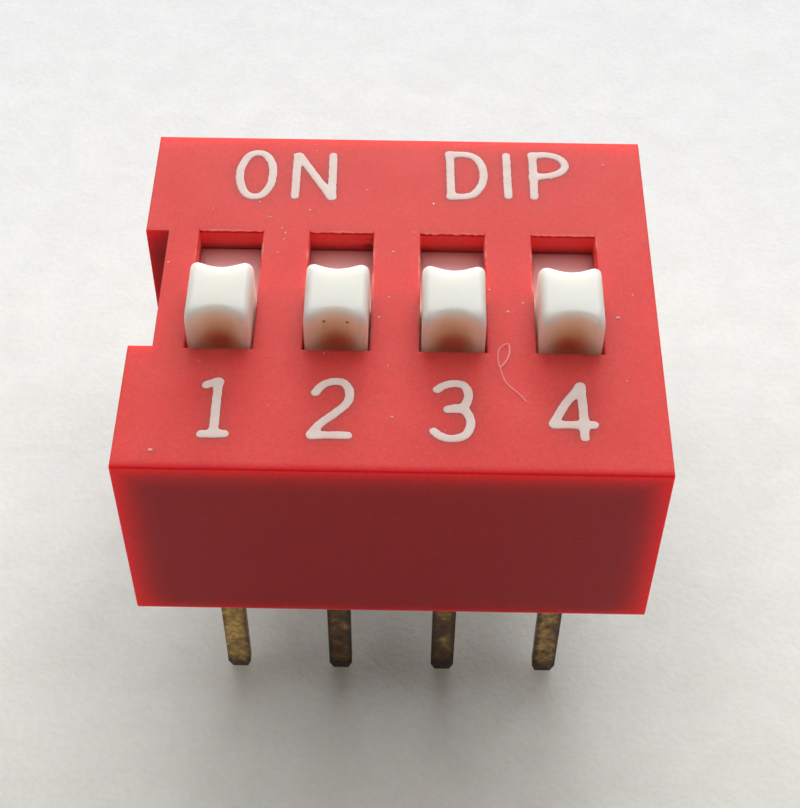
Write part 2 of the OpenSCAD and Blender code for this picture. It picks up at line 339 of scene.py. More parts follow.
@dataclass(frozen=True)
class HousingPlastic(Finish):
    """Injection-moulded thermoplastic, satin: a red that light enters, so that its edges glow.

    The sides are painted a deeper red than the top, as painted shade, with a painted glow near their edges; the top's
    front edge carries painted shade; the windows' walls carry a painted glow above and painted shade at the foot; the
    windows' rims carry a pale painted highlight where they are also rubbed; and a few spots are dirty or nicked.
    """

    colour: str = "#d83e39"
    cloud: str = "#de4944"
    # The next two colours are painted shade on the cover's sides and a painted glow near their edges.
    side: str = "#bb2930"
    glow: str = "#ff2e36"
    # The next colour is painted shade at the top's front edge.
    brow: str = "#cc222c"
    # The next two colours are a painted glow on the windows' walls and painted shade at their foot.
    painted_wall: str = "#ff5252"
    foot: str = "#b83030"
    # The next colour is a pale painted highlight on the windows' rims, where they are also rubbed.
    rubbed: str = "#f59c8e"
    grime: str = "#6b3d20"
    nick: str = "#7a1512"
    grain_mm: float = 0.13
    cloud_mm: float = 1.4
    depth_mm: float = 0.0014
    faded: Pair = (0.12, 0.42)
    half_mm: Pair = (5.78, 5.05)
    side_down_mm: Pair = (0.05, 0.01)
    glow_mm: float = 0.95
    glow_power: float = 2.0
    through: float = 1.0
    scatter: Triple = (1.0, 0.07, 0.07)
    spread_mm: float = 0.7
    edge_spread: float = 2.2
    brow_mm: float = 0.24
    sheen: Pair = (0.22, 0.02)
    ior: float = 1.5
    rough: Pair = (0.48, 0.60)
    relief: float = 0.35
    mottle_mm: float = 0.06
    mottle: Pair = (0.90, 1.10)
    windows_mm: tuple[Triple, Triple] = ((-5.2, -1.75, 4.9), (5.2, 1.85, 5.74))
    wall_soft_mm: float = 0.04
    foot_shade_mm: Pair = (5.18, 5.50)
    window_mm: float = 1.46
    rim_mm: float = 0.042
    rim_out: float = 0.4
    rim_core: float = 0.3
    rim_down_mm: Pair = (0.06, 0.03)
    wear_mm: float = 0.5
    worn: Pair = (0.45, 0.65)
    most_worn: float = 0.65
    front_fade_mm: Pair = (-1.2, 0.2)
    rear_fade_mm: Pair = (1.55, 1.75)
    grime_mm: Spots = (((-0.62, 1.84, 5.36), 0.30), ((-0.56, 1.78, 5.60), 0.26))
    nicks_mm: Spots = (((-2.67, -1.39, 5.8), 0.055), ((-2.67, -2.02, 5.8), 0.045))
    spot_core: float = 0.6
    spot_rim: float = 1.25
    spot_ragged: float = 1.3
    spot_depth: float = 0.85

    def build(self) -> bpy.types.Material:
        """Makes the red moulded surface, with what age and use have done to it.

        Returns:
            The material.
        """
        material, tree, shader, place = self.start()
        x, y, z = put(tree, AXES, (place,)).outputs
        cloud = put(tree, NOISE, {"Vector": place, "Scale": 1 / (self.cloud_mm * MM), "Detail": 3.0})
        grain = put(tree, NOISE, {"Vector": place, "Scale": 1 / (self.grain_mm * MM), "Detail": 4.0})
        both = put(tree, MATH, (cloud, grain), operation="MULTIPLY")
        share = put(tree, RAMP, (both, *self.faded, 0.0, 1.0))
        red = put(tree, MIX, {0: share, 6: self.colour, 7: self.cloud}, data_type="RGBA")

        # Painted shade at the top's front edge, as if it turned over softly: the red is painted deeper there, and its
        # specular level falls.
        front = -self.half_mm[1]
        turn = metres((front, self.brow_mm + front))
        brow = put(tree, RAMP, (y, *turn, 1.0, 0.0), interpolation_type="SMOOTHSTEP")
        red = put(tree, MIX, {0: brow, 6: red, 7: self.brow}, data_type="RGBA")
        lower = put(tree, RAMP, (z, *metres(TOP_MM - down for down in self.side_down_mm), 1.0, 0.0))
        upper = put(tree, MATH, (1.0, lower), operation="SUBTRACT")
        on_brow = put(tree, MATH, (brow, upper), operation="MULTIPLY")
        sheen = put(tree, RAMP, (on_brow, 0.0, 1.0, *self.sheen))

        # The sides, below the top face, are painted a deeper red than the top, as painted shade, and a brighter red
        # near their edges, as a painted glow where light comes out: the middle one of the distances to the box's faces
        # is the distance from the nearest edge.
        away = put(tree, VECTOR, (place,), operation="ABSOLUTE")
        box = tuple(Vector((*self.half_mm, TOP_MM)) * MM)
        away = put(tree, VECTOR, (box, away), operation="SUBTRACT")
        from_side, from_end, from_top = put(tree, AXES, (away,)).outputs
        small = put(tree, MATH, (from_side, from_end), operation="MINIMUM")
        upright = put(tree, MATH, (from_side, from_end), operation="MAXIMUM")
        large = put(tree, MATH, (upright, from_top), operation="MINIMUM")
        edge = put(tree, MATH, (small, large), operation="MAXIMUM")
        lit = put(tree, RAMP, (edge, 0.0, self.glow_mm * MM, 1.0, 0.0))
        lit = put(tree, MATH, (lit, self.glow_power), operation="POWER")
        side_shade_and_glow = put(tree, MIX, {0: lit, 6: self.side, 7: self.glow}, data_type="RGBA")
        red = put(tree, MIX, {0: lower, 6: red, 7: side_shade_and_glow}, data_type="RGBA")

        # The windows' walls carry painted light: a bright red above, as a painted glow, that darkens to painted shade
        # at their foot.
        low, high = (Vector(corner) * MM for corner in self.windows_mm)
        middle, half = (low + high) / 2, (high - low) / 2
        from_middle = put(tree, VECTOR, (place, tuple(middle)), operation="SUBTRACT")
        outside = put(tree, VECTOR, (from_middle,), operation="ABSOLUTE")
        reach = put(tree, VECTOR, (tuple(half + Vector((0, 0.1 * MM, 0))), outside), operation="SUBTRACT")
        in_x, in_y, in_z = put(tree, AXES, (reach,)).outputs
        least = put(tree, MATH, (in_x, in_y), operation="MINIMUM")
        deep = put(tree, MATH, (least, in_z), operation="MINIMUM")
        within = put(tree, RAMP, (deep, 0.0, self.wall_soft_mm * MM, 0.0, 1.0))
        above_foot_shade = put(tree, RAMP, (z, *metres(self.foot_shade_mm), 0.0, 1.0))
        painted_wall = put(tree, MIX, {0: above_foot_shade, 6: self.foot, 7: self.painted_wall}, data_type="RGBA")
        red = put(tree, MIX, {0: within, 6: red, 7: painted_wall}, data_type="RGBA")

        # The rims carry a pale painted highlight, and are rubbed pale as well, in places: the distance from the nearest
        # window's outline in plan is small there.
        half_window = self.window_mm / 2 * MM
        across = put(tree, MATH, (off_position(tree, x), PITCH_MM * MM, -half_window), operation="MULTIPLY_ADD")
        along = put(tree, MATH, (put(tree, AXES, (outside,)).outputs["Y"], half.y), operation="SUBTRACT")
        off = put(tree, MATH, (across, along), operation="MAXIMUM")
        off = put(tree, MATH, (off, self.rim_out * self.rim_mm * MM), operation="SUBTRACT")
        off = put(tree, MATH, (off,), operation="ABSOLUTE")
        rim = put(tree, RAMP, (off, self.rim_core * self.rim_mm * MM, self.rim_mm * MM, 1.0, 0.0))
        wear = put(tree, NOISE, {"Vector": place, "Scale": 1 / (self.wear_mm * MM), "Detail": 3.0})
        for run in (
            (z, *metres(TOP_MM - down for down in self.rim_down_mm), 0.0, 1.0),
            (wear, *self.worn, 0.0, self.most_worn),
            (least, 0.0, 0.01 * MM, 0.0, 1.0),
            (y, *metres(self.front_fade_mm), 0.2, 1.0),
            (y, *metres(self.rear_fade_mm), 1.0, 0.3),
        ):
            rim = put(tree, MATH, (rim, put(tree, RAMP, run)), operation="MULTIPLY")
        red = put(tree, MIX, {0: rim, 6: red, 7: self.rubbed}, data_type="RGBA")

        for spots, code in ((self.grime_mm, self.grime), (self.nicks_mm, self.nick)):
            red = put(tree, MIX, {0: self.spots(tree, place, grain, spots), 6: red, 7: code}, data_type="RGBA")
        fine = put(tree, NOISE, {"Vector": place, "Scale": 1 / (self.mottle_mm * MM), "Detail": 2.0})
        fine = put(tree, RAMP, (fine, 0.25, 0.75, *self.mottle))
        spread = metres((self.edge_spread * self.spread_mm, self.spread_mm))
        feed(tree, shader, {
            **grained(tree, grain, self.rough, self.relief, self.depth_mm),
            "Base Color": put(tree, VECTOR, {0: red, 3: fine}, operation="SCALE"),
            "IOR": self.ior,
            "Specular IOR Level": sheen,
            "Subsurface Weight": self.through,
            "Subsurface Radius": self.scatter,
            "Subsurface Scale": put(tree, RAMP, (upright, 0.0, self.glow_mm * MM, *spread)),
        })
        return material

    def spots(
        self, tree: bpy.types.NodeTree, place: bpy.types.NodeSocket, grain: bpy.types.Node, spots: Spots
    ) -> bpy.types.Node:
        """Masks ragged spots.

        Args:
            tree: The material's tree.
            place: The Object coordinates.
            grain: The noise that makes their edges ragged.
            spots: Each one's middle and reach, in millimetres.

        Returns:
            A node that gives how strong a spot is, from 0 to 1.
        """
        mask = None
        for middle, reach in spots:
            far = put(tree, VECTOR, (place, metres(middle)), operation="DISTANCE")
            rough = put(tree, MATH, (grain, self.spot_ragged * reach * MM), operation="MULTIPLY")
            ragged = put(tree, MATH, (far, rough), operation="ADD")
            fade = metres((self.spot_core * reach, self.spot_rim * reach))
            spot = put(tree, RAMP, (ragged, *fade, self.spot_depth, 0.0))
            mask = put(tree, MATH, (mask, spot), operation="MAXIMUM") if mask else spot
        return mask


@dataclass(frozen=True)
class SliderPlastic(Finish):
    """Injection-moulded acetal, uncoloured: a milky white that light enters a little way, with a soft sheen.

    Its front end below the brow is painted lighter than the top and tinted tan, as painted light on a shaded face, with
    a reddish foot that is a painted red reflection of the cover and partly dirt; the plate carries a painted red
    reflection, deepening to painted shade at the rear.
    """

    colour: str = "#dae0d6"
    stain: str = "#dcdac9"
    # The next three colours are painted light on the front end's shaded face: cream and pale tan, lighter than the top,
    # and a reddish one for its foot, which is a painted red reflection of the cover and partly dirt.
    horn: str = "#ffeacf"
    painted_front: str = "#efe1d3"
    red_bounce_and_dirt: str = "#ecc2b0"
    # The next two colours are on the plate: a painted red reflection of the cover near the grip, deepening to painted
    # shade towards the window's rear wall.
    plate_reflection: str = "#fce3e0"
    shaded: str = "#eea8a2"
    speck: str = "#3d2c1c"
    grain_mm: float = 0.12
    stain_mm: float = 0.9
    depth_mm: float = 0.002
    front_mm: float = -1.70
    hollow_mm: float = 0.26
    front_reach_mm: Pair = (0.35, 0.55)
    brow_mm: Pair = (6.40, 6.74)
    rise_mm: Pair = (5.8, 6.1)
    plate_mm: float = 5.26
    shade_mm: Pair = (0.2, 1.7)
    specks_mm: tuple[Triple, ...] = ()
    speck_mm: float = 0.05
    scatter: Triple = (1.0, 0.85, 0.75)
    spread_mm: float = 1.5
    ior: float = 1.48
    rough: Pair = (0.34, 0.46)
    relief: float = 0.3

    def build(self) -> bpy.types.Material:
        """Makes the milky surface, with any dark specks it carries.

        Returns:
            The material.
        """
        material, tree, shader, place = self.start()
        _, y, z = put(tree, AXES, (place,)).outputs
        grain = put(tree, NOISE, {"Vector": place, "Scale": 1 / (self.grain_mm * MM), "Detail": 4.0})
        broad = put(tree, NOISE, {"Vector": place, "Scale": 1 / (self.stain_mm * MM), "Detail": 2.0})
        share = put(tree, RAMP, (broad, 0.45, 0.8, 0.0, 0.5))
        white = put(tree, MIX, {0: share, 6: self.colour, 7: self.stain}, data_type="RGBA")

        # Painted light on the shaded front end below the brow: a pale tan lighter than the top, cream on the horns, and
        # reddish at its foot, where it is a painted red reflection of the cover and partly dirt.
        below = put(tree, RAMP, (z, *metres(self.brow_mm), 1.0, 0.0), interpolation_type="SMOOTHSTEP")
        end = put(tree, RAMP, (y, *metres(self.front_mm + back for back in self.front_reach_mm), 1.0, 0.0))
        painted_front_mask = put(tree, MATH, (below, end), operation="MULTIPLY")
        rise = put(tree, RAMP, (z, *metres(self.rise_mm), 0.0, 1.0))
        painted_front = put(tree, MIX, {0: rise, 6: self.red_bounce_and_dirt, 7: self.painted_front}, data_type="RGBA")
        deep = put(tree, RAMP, (y, *metres((self.front_mm, self.front_mm + self.hollow_mm)), 0.0, 1.0))
        painted_front = put(tree, MIX, {0: deep, 6: self.horn, 7: painted_front}, data_type="RGBA")
        with_painted_front = put(tree, MIX, {0: painted_front_mask, 6: white, 7: painted_front}, data_type="RGBA")

        # The plate in the window carries a painted red reflection of the cover, pale behind the grip and deepening to
        # painted shade towards the window's rear wall.
        plate = put(tree, MATH, (z, self.plate_mm * MM), operation="LESS_THAN")
        behind = put(tree, RAMP, (y, *metres(self.shade_mm), 0.0, 1.0))
        plate_reflection_and_shade = put(tree, MIX, {0: behind, 6: self.plate_reflection, 7: self.shaded}, data_type="RGBA")
        colour = put(tree, MIX, {0: plate, 6: with_painted_front, 7: plate_reflection_and_shade}, data_type="RGBA")
        for spot in self.specks_mm:
            far = put(tree, VECTOR, (place, metres(spot)), operation="DISTANCE")
            mask = put(tree, RAMP, (far, 0.4 * self.speck_mm * MM, self.speck_mm * MM, 0.8, 0.0))
            colour = put(tree, MIX, {0: mask, 6: colour, 7: self.speck}, data_type="RGBA")
        feed(tree, shader, {
            **grained(tree, grain, self.rough, self.relief, self.depth_mm),
            "Base Color": colour,
            "IOR": self.ior,
            "Subsurface Weight": put(tree, RAMP, (plate, 0.0, 1.0, 1.0, 0.0)),
            "Subsurface Radius": self.scatter,
            "Subsurface Scale": self.spread_mm * MM,
        })
        return material


@dataclass(frozen=True)
class BasePlastic(Finish):
    """Glass-filled nylon, moulded: near black and dull, with the fill showing as fine pale grain."""

    colour: str = "#1b1b1c"
    fill: str = "#3a3a3b"
    grain_mm: float = 0.07
    depth_mm: float = 0.004
    rough: Pair = (0.5, 0.72)
    relief: float = 0.4

    def build(self) -> bpy.types.Material:
        """Makes the dull black surface.

        Returns:
            The material.
        """
        material, tree, shader, place = self.start()
        grain = put(tree, NOISE, {"Vector": place, "Scale": 1 / (self.grain_mm * MM), "Detail": 5.0})
        share = put(tree, RAMP, (grain, 0.5, 0.8, 0.0, 0.8))
        feed(tree, shader, {
            **grained(tree, grain, self.rough, self.relief, self.depth_mm),
            "Base Color": put(tree, MIX, {0: share, 6: self.colour, 7: self.fill}, data_type="RGBA"),
        })
        return material


@dataclass(frozen=True)
class SealingCompound(Finish):
    """Potting epoxy, poured and cured: dark amber-brown, glossy, with slow ripples and a few trapped bubbles."""

    colour: str = "#2a1d12"
    thin: str = "#4a3118"
    ripple_mm: float = 1.3
    bubble_mm: float = 0.35
    depth_mm: float = 0.05
    rough: float = 0.14
    relief: float = 0.8
    ior: float = 1.55

    def build(self) -> bpy.types.Material:
        """Makes the glossy cured resin.

        Returns:
            The material.
        """
        material, tree, shader, place = self.start()
        ripple = put(tree, NOISE, {"Vector": place, "Scale": 1 / (self.ripple_mm * MM), "Detail": 2.0})
        cells = put(tree, "ShaderNodeTexVoronoi", {"Vector": place, "Scale": 1 / (self.bubble_mm * MM)})
        bubble = put(tree, RAMP, (cells, 0.0, 0.16, -0.5, 0.0))
        share = put(tree, RAMP, (ripple, 0.4, 0.7, 0.0, 1.0))
        height = put(tree, MATH, (ripple, bubble), operation="ADD")
        feed(tree, shader, {
            "Base Color": put(tree, MIX, {0: share, 6: self.colour, 7: self.thin}, data_type="RGBA"),
            "Normal": put(tree, BUMP, {"Strength": self.relief, "Distance": self.depth_mm * MM, "Height": height}),
            "Roughness": self.rough,
            "IOR": self.ior,
        })
        return material


@dataclass(frozen=True)
class ContactGold(Finish):
    """Gold flash over copper alloy strip: bright yellow metal with fine rolling lines and rubbed feet."""

    colour: str = "#dcb45a"
    rubbed: str = "#b98a4a"
    lines_mm: Triple = (0.03, 0.6, 0.6)
    rough: Pair = (0.18, 0.34)

    def build(self) -> bpy.types.Material:
        """Makes the plated spring strip.

        Returns:
            The material.
        """
        material, tree, shader, place = self.start()
        scale = tuple(1 / (size * MM) for size in self.lines_mm)
        along = put(tree, "ShaderNodeMapping", {"Vector": place, "Scale": scale})
        lines = put(tree, NOISE, {"Vector": along, "Scale": 1.0, "Detail": 3.0})
        feed(tree, shader, {
            "Base Color": put(tree, MIX, {0: lines, 6: self.colour, 7: self.rubbed}, data_type="RGBA"),
            "Roughness": put(tree, RAMP, (lines, *NOISE_SPAN, *self.rough)),
            "Metallic": 1.0,
        })
        return material


@dataclass(frozen=True)
class TarnishedBrass(Finish):
    """Stamped brass strip, long in store: olive-yellow metal under brown oxide, nearly black at the tips and edges."""

    tarnish: Tarnish = Tarnish.HALF
    metal: str = "#ecc57c"
    olive: str = "#b8994f"
    oxide: str = "#825a34"
    black: str = "#40291a"
    patch_mm: float = 0.34
    pit_mm: float = 0.10
    depth_mm: float = 0.006
    tip_mm: float = -3.9
    tip_reach_mm: float = 0.6
    half_mm: float = 0.28
    border_mm: float = 0.13
    tip_worse: float = 0.30
    edge_worse: float = 0.20
    brown_half: float = 0.13
    burnt: Pair = (0.06, 0.34)
    shine: Pair = (0.70, 0.15)
    rough: Pair = (0.32, 0.58)
    relief: float = 0.3
    seed: float = 0.0

    def build(self) -> bpy.types.Material:
        """Makes the mottled metal, darkest at the pin's tip and along its edges.

        Returns:
            The material.
        """
        material, tree, shader, place = self.start()
        x, _, z = put(tree, AXES, (place,)).outputs
        patch = put(tree, NOISE, {
            "Vector": place, "W": self.seed, "Scale": 1 / (self.patch_mm * MM), "Detail": 5.0, "Roughness": 0.6,
        }, noise_dimensions="4D")
        pits = put(tree, NOISE, {"Vector": place, "Scale": 1 / (self.pit_mm * MM), "Detail": 3.0})
        tip = put(tree, RAMP, (z, *metres((self.tip_mm, self.tip_mm + self.tip_reach_mm)), self.tip_worse, 0.0))
        border = ((self.half_mm - self.border_mm) / PITCH_MM, self.half_mm / PITCH_MM)
        edge = put(tree, RAMP, (off_position(tree, x), *border, 0.0, self.edge_worse))
        worse = put(tree, MATH, (tip, edge), operation="ADD")
        level = put(tree, MATH, (patch, worse), operation="ADD")
        limit = 0.5 + 0.55 * (0.5 - self.tarnish.value)
        brown = put(tree, RAMP, (level, limit - self.brown_half, limit + self.brown_half, 0.0, 1.0))
        burnt = put(tree, RAMP, (level, *(limit + past for past in self.burnt), 0.0, 1.0))
        mottle = put(tree, RAMP, (pits, 0.35, 0.65, 0.0, 1.0))
        yellow = put(tree, MIX, {0: mottle, 6: self.metal, 7: self.olive}, data_type="RGBA")
        turned = put(tree, MIX, {0: brown, 6: yellow, 7: self.oxide}, data_type="RGBA")
        feed(tree, shader, {
            **grained(tree, pits, self.rough, self.relief, self.depth_mm),
            "Base Color": put(tree, MIX, {0: burnt, 6: turned, 7: self.black}, data_type="RGBA"),
            "Metallic": put(tree, RAMP, (brown, 0.0, 1.0, *self.shine)),
        })
        return material


@dataclass(frozen=True)
class LegendInk(Finish):
    """Hot-stamped pigment foil: chalky off-white, a touch pink where the layer is thin over the red."""

    colour: str = "#dccac2"
    thin: str = "#dab5ac"
    patch_mm: float = 0.3
    depth_mm: float = 0.003
    rough: float = 0.55
    relief: float = 0.3

    def build(self) -> bpy.types.Material:
        """Makes the chalky ink.

        Returns:
            The material.
        """
        material, tree, shader, place = self.start()
        patch = put(tree, NOISE, {"Vector": place, "Scale": 1 / (self.patch_mm * MM), "Detail": 5.0})
        share = put(tree, RAMP, (patch, 0.35, 0.8, 0.0, 0.75))
        feed(tree, shader, {
            "Base Color": put(tree, MIX, {0: share, 6: self.colour, 7: self.thin}, data_type="RGBA"),
            "Normal": put(tree, BUMP, {"Strength": self.relief, "Distance": self.depth_mm * MM, "Height": patch}),
            "Roughness": self.rough,
        })
        return material


@dataclass(frozen=True)
class Lint(Finish):
    """Dry fibre: pale, matt and slightly see-through."""

    colour: str = "#f0cfc6"
    bleached: str = "#fbeae2"
    patch_mm: float = 0.12
    rough: float = 0.7
    clear: float = 0.36

    def build(self) -> bpy.types.Material:
        """Makes the thin pale fibre.

        Returns:
            The material.
        """
        material, tree, shader, place = self.start()
        patch = put(tree, NOISE, {"Vector": place, "Scale": 1 / (self.patch_mm * MM)})
        tint = put(tree, MIX, {0: patch, 6: self.colour, 7: self.bleached}, data_type="RGBA")
        feed(tree, shader, {"Base Color": tint, "Roughness": self.rough, "Alpha": self.clear})
        return material


@dataclass(frozen=True)
class PaleDust(Finish):
    """Settled paper dust: single pale grains, matt and opaque."""

    colour: str = "#f4e2da"
    shade: str = "#e7b4aa"
    patch_mm: float = 0.5
    rough: float = 0.85

    def build(self) -> bpy.types.Material:
        """Makes the grains, each a little lighter or pinker than the next.

        Returns:
            The material.
        """
        material, tree, shader, place = self.start()
        patch = put(tree, NOISE, {"Vector": place, "Scale": 1 / (self.patch_mm * MM)})
        tint = put(tree, MIX, {0: patch, 6: self.colour, 7: self.shade}, data_type="RGBA")
        feed(tree, shader, {"Base Color": tint, "Roughness": self.rough})
        return material


@dataclass(frozen=True)
class FloorPaper(Finish):
    """Soft felted card: pale, with a fine uneven nap; light spreads under its skin, so that shadows on it are pale."""

    # The next three tones are painted light and shade on the floor: greyer far off and at the front, as painted shade,
    # and palest near the switch, as painted light in its shadow.
    far: str = "#eaebeb"
    near: str = "#f6f7f1"
    front: str = "#eaebe3"
    far_y: float = 0.024
    near_y: float = -0.003
    front_y: float = -0.0078
    nap_mm: float = 1.1
    fibre_mm: float = 0.17
    depth_mm: float = 0.06
    tones: Pair = (0.93, 1.0)
    rough: float = 0.9
    relief: float = 0.6
    sheen: float = 0.1
    through: float = 0.72
    scatter: Triple = (1.0, 0.92, 0.76)
    spread_mm: float = 4.0

    def build(self) -> bpy.types.Material:
        """Makes the pale card.

        Returns:
            The material.
        """
        material, tree, shader, place = self.start()
        along = put(tree, AXES, (place,)).outputs["Y"]
        # Painted light and shade: the floor is palest close to the switch and greyer towards its far end and its front.
        share = put(tree, RAMP, (along, self.near_y, self.far_y, 0.0, 1.0))
        front = put(tree, RAMP, (along, self.front_y, self.near_y, 1.0, 0.0))
        tone = put(tree, MIX, {0: share, 6: self.near, 7: self.far}, data_type="RGBA")
        tone = put(tree, MIX, {0: front, 6: tone, 7: self.front}, data_type="RGBA")
        nap = put(tree, NOISE, {
            "Vector": place, "Scale": 1 / (self.nap_mm * MM), "Detail": 3.0, "Distortion": 0.6,
        })
        fibre = put(tree, NOISE, {"Vector": place, "Scale": 1 / (self.fibre_mm * MM), "Detail": 4.0})
        height = put(tree, MATH, (fibre, 0.8, nap), operation="MULTIPLY_ADD")
        shade = put(tree, RAMP, (height, 0.6, 1.2, *self.tones))
        feed(tree, shader, {
            "Base Color": put(tree, VECTOR, {0: tone, 3: shade}, operation="SCALE"),
            "Normal": put(tree, BUMP, {"Strength": self.relief, "Distance": self.depth_mm * MM, "Height": height}),
            "Roughness": self.rough,
            "Specular IOR Level": self.sheen,
            "Subsurface Weight": self.through,
            "Subsurface Radius": self.scatter,
            "Subsurface Scale": self.spread_mm * MM,
        })
        return material


# ---- housing and poles ---------------------------------------------------


def dress(node: str, finish: bpy.types.Material) -> None:
    """Gives every material slot of a CAD node one finish.

    Args:
        node: The node's name.
        finish: Its material.
    """
    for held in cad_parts[node].material_slots:
        held.material = finish
    LOG.info("%s: %s", node, finish.name)


@dataclass
class Housing:
    """The moulded cover, the base inside it, the sealing compound and the eight terminals."""

    front: tuple[Tarnish, ...] = (Tarnish.LIGHT, Tarnish.HEAVY, Tarnish.HEAVY, Tarnish.HALF)
    rear: tuple[Tarnish, ...] = (Tarnish.HALF, Tarnish.LIGHT, Tarnish.HALF, Tarnish.HALF)
    rear_seed: float = 7.3

    def build(self) -> None:
        """Dresses the housing's nodes."""
        dress("cover", HousingPlastic("moulded red thermoplastic").build())
        dress("base", BasePlastic("moulded black nylon").build())
        resin = SealingCompound("cured potting epoxy").build()
        dress("seal_front", resin)
        dress("seal_rear", resin)
        for row, states, first in (("front", self.front, 0.0), ("rear", self.rear, self.rear_seed)):
            for number, state in enumerate(states, 1):
                brass = TarnishedBrass(f"tarnished brass, {row} {number}", tarnish=state, seed=number + first)
                dress(f"terminal_{row}_{number}", brass.build())


@dataclass
class Grip:
    """The upper part of a slider: its plate, and the grip on it with two finger hollows between four soft horns.

    It is drawn about the slider's middle in millimetres, with heights down from the grip's top.
    """

    width: float = 1.38
    length: float = 1.70
    horn: float = 0.10
    hollow: float = 0.25
    side: float = 0.20
    brow: float = 0.28
    rim: float = 0.08
    foot: float = 0.04
    plate_down: float = 1.604
    cut_down: float = 1.79
    corner: float = 0.15
    core: float = 0.44
    step: float = 0.018
    foot_rings: int = 5
    wall_rings: int = 6
    rim_rings: int = 6
    top_rings: int = 25
    top_power: float = 1.4
    same: float = 1e-7
    slack: float = 1e-6

    def plan(self) -> np.ndarray:
        """Runs round the grip's plan: flat side, horn, hollow, horn, and the same again.

        Returns:
            Points about its middle, anticlockwise.
        """
        horn = np.array([self.width, self.length]) / 2 - self.horn
        radius = (horn[0] ** 2 + self.hollow ** 2) / (2 * self.hollow) - self.horn
        centre = self.length / 2 - self.hollow + radius
        lean = math.atan2(centre - horn[1], -horn[0])
        side = [(self.width / 2, y) for y in np.arange(0, horn[1], self.step)]
        turns = np.arange(0, lean, self.step / self.horn)
        tip = [horn + self.horn * np.array([math.cos(a), math.sin(a)]) for a in turns]
        turns = np.linspace(lean - math.pi, -math.pi / 2, int(radius * lean / 2 / self.step) + 2)
        bowl = [(radius * math.cos(a), centre + radius * math.sin(a)) for a in turns]
        quarter = np.array(side + [tuple(t) for t in tip] + bowl)
        half = np.vstack([quarter, (quarter * (-1, 1))[::-1][1:]])
        return np.vstack([half[:-1], -half[:-1]])

    def drop(self, plan: np.ndarray) -> np.ndarray:
        """Tells how far the rolled-off top lies below the grip's highest point.

        Args:
            plan: Points of the plan.

        Returns:
            The drop at each point.
        """
        total = np.zeros(len(plan))
        for axis, size, roll in ((0, self.width, self.side), (1, self.length, self.brow)):
            left = roll - np.clip(size / 2 - abs(plan[:, axis]), 0, roll)
            total += roll - np.sqrt(roll ** 2 - left ** 2)
        return total

    def plate(self, plan: np.ndarray, size: Pair) -> np.ndarray:
        """Throws the plan's points out to the plate's outline, a rectangle with round corners.

        Args:
            plan: Points of the grip's plan.
            size: The plate's width and length.

        Returns:
            A point on the outline for each.
        """
        inner = np.array(size) / 2 - self.corner
        aim = plan / np.max(abs(plan) / inner, axis=1)[:, None]
        reach = plan / np.linalg.norm(plan, axis=1)[:, None] * self.corner
        ends = abs(aim) > inner - self.slack
        flat = np.where(ends, np.sign(aim) * (inner + self.corner), aim)
        return np.where(ends.all(axis=1)[:, None], aim + reach, flat)

    def shell(self, size: Pair) -> tuple[np.ndarray, list[list[int]]]:
        """Makes the closed shell, ring by ring, from under the plate to the top of the grip.

        Args:
            size: The plate's width and length.

        Returns:
            The vertices, heights measured down from the top as negative numbers, and the faces.
        """
        plan = self.plan()
        core = np.clip(plan, -self.core, self.core)
        inward = core - plan
        far = np.linalg.norm(inward, axis=1)
        inward /= far[:, None]
        edge = self.drop(plan) + self.rim
        outline = self.plate(plan, size)
        rings = [(outline, np.full(len(plan), self.cut_down)), (outline, np.full(len(plan), self.plate_down))]
        for turn in np.linspace(0, math.pi / 2, self.foot_rings):
            spread = self.foot * (1 - math.sin(turn))
            down = self.plate_down - self.foot * (1 - math.cos(turn))
            rings.append((plan - inward * spread, np.full(len(plan), down)))
        for share in np.linspace(0.15, 0.9, self.wall_rings):
            rings.append((plan, (1 - share) * (self.plate_down - self.foot) + share * edge))
        for turn in np.linspace(0, math.pi / 2, self.rim_rings):
            here = plan + inward * (self.rim * (1 - math.cos(turn)))
            rings.append((here, self.drop(here) + self.rim * (1 - math.sin(turn))))
        for share in np.linspace(0, 1, self.top_rings)[1:] ** self.top_power:
            here = plan + inward * (self.rim + share * (far - self.rim))[:, None]
            rings.append((here, self.drop(here)))
        count, last = len(plan), (len(rings) - 1) * len(plan)
        points = np.vstack([np.column_stack([flat, -down]) for flat, down in rings])
        faces = []
        for level in range(0, last, count):
            for n in range(count):
                after = (n + 1) % count
                faces.append([level + n, level + after, level + count + after, level + count + n])
        faces += [list(range(count))[::-1], [last + n for n in range(count)]]
        return points, faces

    def build(self, node: str, body: str, finish: bpy.types.Material) -> None:
        """Sets the grip on what is left of a CAD slider below its plate, and puts the two in the slider's place.

        Args:
            node: The CAD slider.
            body: The body that it rides on.
            finish: The slider's plastic.
        """
        low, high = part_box(node)
        middle, top = (low + high) / 2, high.z
        points, faces = self.shell(((high.x - low.x) / MM, (high.y - low.y) / MM))
        build = bmesh.new()
        build.from_mesh(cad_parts[node].data)
        bmesh.ops.remove_doubles(build, verts=build.verts, dist=self.same)
        bmesh.ops.bisect_plane(
            build, geom=build.verts[:] + build.edges[:] + build.faces[:], dist=self.same,
            plane_co=(0, 0, top - self.cut_down * MM), plane_no=(0, 0, 1), clear_outer=True,
        )
        bmesh.ops.holes_fill(build, edges=[edge for edge in build.edges if edge.is_boundary])
        for face in build.faces:
            face.smooth = False
        made = [build.verts.new((middle.x + x * MM, middle.y + y * MM, top + z * MM)) for x, y, z in points]
        for face in faces:
            build.faces.new([made[n] for n in face]).smooth = len(face) == 4
        bmesh.ops.remove_doubles(build, verts=made, dist=self.same)
        piece = carried(f"{node}_moulded", kept(build), finish, body)
        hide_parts(node)


